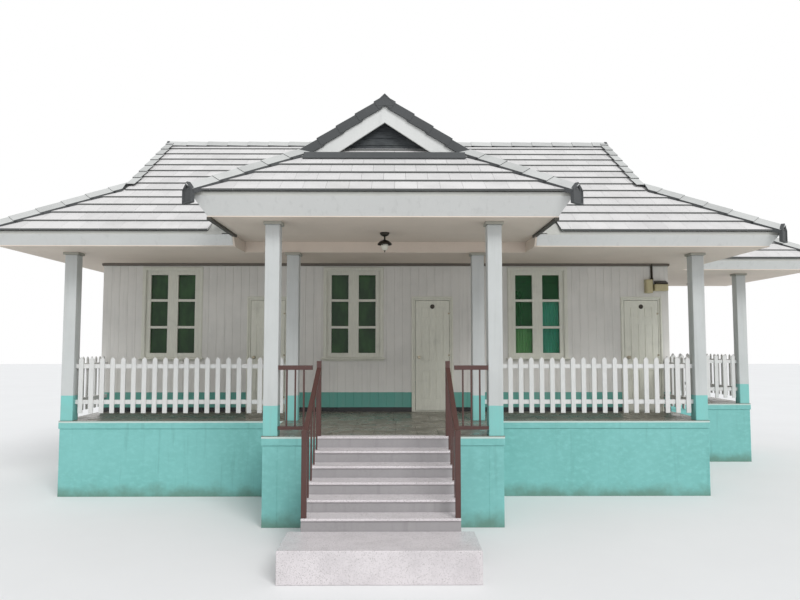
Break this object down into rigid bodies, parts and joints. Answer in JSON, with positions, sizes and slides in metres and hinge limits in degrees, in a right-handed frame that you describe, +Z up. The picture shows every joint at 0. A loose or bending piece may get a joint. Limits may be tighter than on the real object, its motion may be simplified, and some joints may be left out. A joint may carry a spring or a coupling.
{
  "type": "bungalow",
  "caption": "Raised bungalow with a front veranda, an entrance porch with a wide stair, a side terrace and gabled hip roofs; hollow, with hinged doors.",
  "frame": {"origin": "middle of the underside of the porch's front plinth wall, at the lowest ground level", "axes": "+X towards the right-hand end seen from the front, +Y from the front to the back, +Z up"},
  "size_m": [15.1678, 10.6139, 6.6101],
  "materials": {
    "plinth_render": "turquoise painted cement render, weathered",
    "stair_mass": "grey cement render",
    "stair_stone": "pale cast stone",
    "column_paint": "off-white masonry paint",
    "wall_paint": "off-white painted boards",
    "joinery_paint": "cream gloss paint on timber",
    "window_glass": "clear, dark room behind",
    "soffit_paint": "painted board",
    "trim_paint": "white painted timber, weathered",
    "roof_tile": "pale grey tiles, dark courses",
    "gable_paint": "dark stained boards",
    "roof_cap": "grey cap tiles",
    "fence_paint": "white painted timber",
    "rail_paint": "dark brown paint",
    "lamp_metal": "dark satin with pale shade",
    "meter_case": "aged buff plastic"
  },
  "bodies": {
    "house": {"plinth_cross_walls": "plinth_render", "plinth_end_walls": "plinth_render", "deck_house": "plinth_render", "deck_porch": "plinth_render", "deck_wing": "plinth_render", "stair_base": "stair_mass", "stair_treads": "stair_stone", "stair_landing": "stair_stone", "porch_columns": "column_paint", "veranda_columns": "column_paint", "column_plates": "column_paint", "front_wall_1": "wall_paint", "front_wall_2": "wall_paint", "front_wall_3": "wall_paint", "front_wall_4": "wall_paint", "walls_over_doors": "wall_paint", "back_wall": "wall_paint", "end_walls": "wall_paint", "door_frames": "joinery_paint", "window_frames": "joinery_paint", "window_glass": "window_glass", "ceiling_main": "soffit_paint", "ceiling_porch": "soffit_paint", "porch_beam": "trim_paint", "eave_returns": "trim_paint", "fascia_cross": "trim_paint", "fascia_ends": "trim_paint", "barge_boards": "trim_paint", "roof_main_front": "roof_tile", "roof_main_back": "roof_tile", "roof_hips": "roof_tile", "roof_porch_left": "roof_tile", "roof_porch_right": "roof_tile", "roof_porch_front": "roof_tile", "roof_wing": "roof_tile", "gable_panels": "gable_paint", "ridge_caps": "roof_cap", "hip_caps": "roof_cap", "fence_front_left": "fence_paint", "fence_front_right": "fence_paint", "fence_side_left": "fence_paint", "fence_side_right": "fence_paint", "fence_wing_front": "fence_paint", "fence_wing_side": "fence_paint", "fence_wing_back": "fence_paint", "porch_rails": "rail_paint", "stair_rails": "rail_paint", "porch_lamp": "lamp_metal", "meter_box": "meter_case"},
    "door_left": {"door_left": "joinery_paint"},
    "door_middle": {"door_middle": "joinery_paint"},
    "door_right": {"door_right": "joinery_paint"}
  },
  "joints": [
    {"name": "door_left_hinge", "type": "hinge", "parent": "house", "child": "door_left", "pos_m": [-1.8835, 3.293, 1.2], "axis": [0, 0, 1], "range_deg": [0, 90]},
    {"name": "door_middle_hinge", "type": "hinge", "parent": "house", "child": "door_middle", "pos_m": [1.1665, 3.293, 1.2], "axis": [0, 0, 1], "range_deg": [0, 90]},
    {"name": "door_right_hinge", "type": "hinge", "parent": "house", "child": "door_right", "pos_m": [5.0565, 3.293, 1.2], "axis": [0, 0, 1], "range_deg": [0, 90]}
  ]
}
